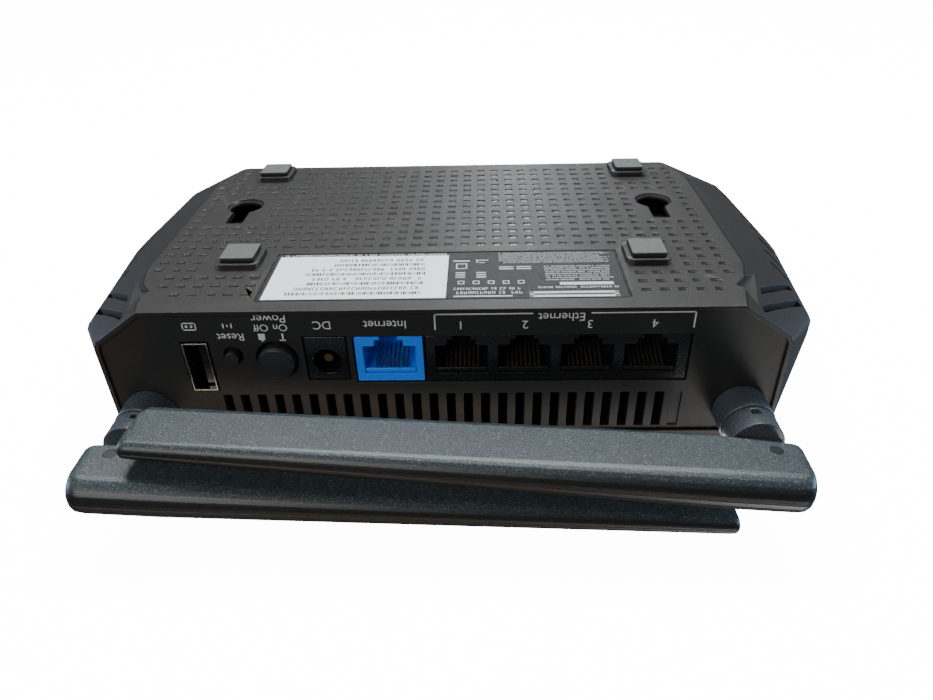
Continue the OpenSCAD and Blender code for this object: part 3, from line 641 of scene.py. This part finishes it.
film = [(3.2, -5.2, 13.0, 0.5)]
film += [(20.0, -6.6, 19.5, 0.9), (20.0, -5.0, 19.5, 0.9), (20.0, -5.8, 0.9, 2.2), (38.6, -5.8, 0.9, 2.2)]
film += greeked_line(3.2, 18.5, -6.8, 1.2) + greeked_line(3.2, 18.5, -8.6, 1.0)
film += greeked_line(22, 40, -8.9, 0.8, 0.14)
film.append((27.0, -10.6, 12.0, 1.3))
for k in range(5):
    film += [(4.0 + 3.4 * k, -10.9, 1.5, 0.25), (4.0 + 3.4 * k, -12.2, 1.5, 0.25),
             (4.0 + 3.4 * k, -11.55, 0.25, 1.4), (5.25 + 3.4 * k, -11.55, 0.25, 1.4)]
film += [(3.4, -15.2, 2.2, 0.45), (3.4, -14.1, 2.2, 0.45), (3.4, -16.3, 2.2, 0.45),
         (8.2, -15.2, 2.2, 0.45), (8.2, -14.1, 2.2, 0.45), (8.2, -16.3, 2.2, 0.45)]
film += [(13.5, -18.0, 3.4, 0.4), (17.6, -18.0, 3.4, 0.4), (13.5, -19.0, 3.4, 0.4), (17.6, -19.0, 3.4, 0.4)]
film += [(3.4, -18.4, 2.6, 0.3), (3.4, -20.8, 2.6, 0.3), (3.4, -19.6, 0.3, 2.4), (5.7, -19.6, 0.3, 2.4)]
film += [(2.6, -22.3, 4.0, 0.5), (8.0, -22.6, 3.0, 0.3), (8.8, -21.4, 1.4, 0.3), (8.2, -22.0, 0.3, 1.2)]
for k in range(1, 12):
    start = 14.5 if k < 3 else 13.5
    film += greeked_line(start, 40.5 - draw.uniform(0, 3), -20.6 - 0.52 * k, 0.34, 0.09)
for k in range(8):
    film += greeked_line(24.0, 40.5 - draw.uniform(0, 2), -12.4 - 0.95 * k, 0.5, 0.1)
film += greeked_line(-38.5, 1.5, -26.1, 0.9, 0.16)
printed("film_print", film, label_z, white_ink, "sticker_paper")

# ---- marks by the status lights ----

ahead_of_light = Matrix.Translation((0, 4 * MM, 0))
marks = [lettering(mark, 2.6, ahead_of_light @ light) for mark, light in zip("IOo-1234", lights)]
dress(join_as("status_print", marks), white_ink, "sticker_paper", "case")

# ---- stage ----


def floor(name, z, facing):
    """A pale sheet that shows from one side only."""
    bpy.ops.object.select_all(action="DESELECT")
    bpy.ops.mesh.primitive_plane_add(size=6)
    sheet = bpy.context.object
    sheet.data.transform(Matrix.Translation((0, 0, z)) @ Matrix.Diagonal((1, facing, facing, 1)))
    sheet.name = name
    material = bpy.data.materials.new(name)
    material.use_nodes = True
    tree = material.node_tree
    tree.nodes.clear()
    pale = add(tree, "ShaderNodeBsdfDiffuse", inputs={"Color": (0.93, 0.93, 0.93, 1)})
    glow = add(tree, "ShaderNodeEmission", inputs={"Color": (1, 1, 1, 1), "Strength": 14.0})
    lit = add(tree, "ShaderNodeAddShader", inputs={0: pale.outputs["BSDF"], 1: glow.outputs["Emission"]})
    away = add(tree, "ShaderNodeNewGeometry").outputs["Backfacing"]
    seen = add(tree, "ShaderNodeMixShader", inputs={
        "Fac": away, 1: lit.outputs["Shader"],
        2: add(tree, "ShaderNodeBsdfTransparent").outputs["BSDF"]})
    add(tree, "ShaderNodeOutputMaterial", inputs={"Surface": seen.outputs["Shader"]})
    sheet.data.materials.append(material)
    sheet.visible_diffuse = False
    sheet.visible_glossy = False
    sheet.visible_shadow = False


floor("floor_under_feet", -0.0002, 1)
floor("floor_under_top", cad_box[1][2] + 0.0002, -1)


def softbox(name, place, aim, size, power, colour):
    """A lamp with a wide, soft face, turned towards a point."""
    data = bpy.data.lights.new(name, "AREA")
    data.shape = "RECTANGLE"
    data.size, data.size_y = size
    data.energy = power
    data.color = colour
    lamp = bpy.data.objects.new(name, data)
    scene.collection.objects.link(lamp)
    lamp.location = place
    lamp.rotation_euler = (Vector(aim) - Vector(place)).to_track_quat("-Z", "Y").to_euler()


CENTRE = (0, 0.03, 0.02)
softbox("ceiling_panel", (0.05, -0.34, -0.85), CENTRE, (0.9, 0.3), 15, (0.95, 0.98, 1.0))
softbox("far_window", (0.06, -0.95, -0.46), CENTRE, (0.07, 0.34), 1.8, (0.94, 0.97, 1.0))
softbox("behind_camera", (-0.3, 0.62, -0.42), CENTRE, (0.5, 0.3), 3, (1.0, 0.98, 0.95))
softbox("table_bounce", (0.0, 0.4, 0.35), CENTRE, (0.6, 0.12), 0.5, (1.0, 0.72, 0.48))
softbox("cool_left", (-0.7, 0.0, -0.08), CENTRE, (0.3, 0.3), 3, (0.5, 0.7, 1.0))
softbox("cool_right", (0.7, 0.0, -0.08), CENTRE, (0.3, 0.3), 3, (0.5, 0.7, 1.0))
softbox("above_front", (-0.3, -0.5, 0.7), CENTRE, (0.5, 0.4), 9, (1.0, 0.98, 0.95))
softbox("above_rear", (0.4, 0.45, 0.6), CENTRE, (0.3, 0.3), 2, (0.95, 0.97, 1.0))

world = bpy.data.worlds.new("studio")
scene.world = world
world.use_nodes = True
tree = world.node_tree
tree.nodes.clear()
room = add(tree, "ShaderNodeBackground", inputs={"Color": (0.9, 0.93, 1.0, 1), "Strength": 0.14})
paper = add(tree, "ShaderNodeBackground", inputs={"Color": (1, 1, 1, 1), "Strength": 16.0})
seen = add(tree, "ShaderNodeMixShader", inputs={
    "Fac": add(tree, "ShaderNodeLightPath").outputs["Is Camera Ray"],
    1: room.outputs["Background"], 2: paper.outputs["Background"]})
add(tree, "ShaderNodeOutputWorld", inputs={"Surface": seen.outputs["Shader"]})
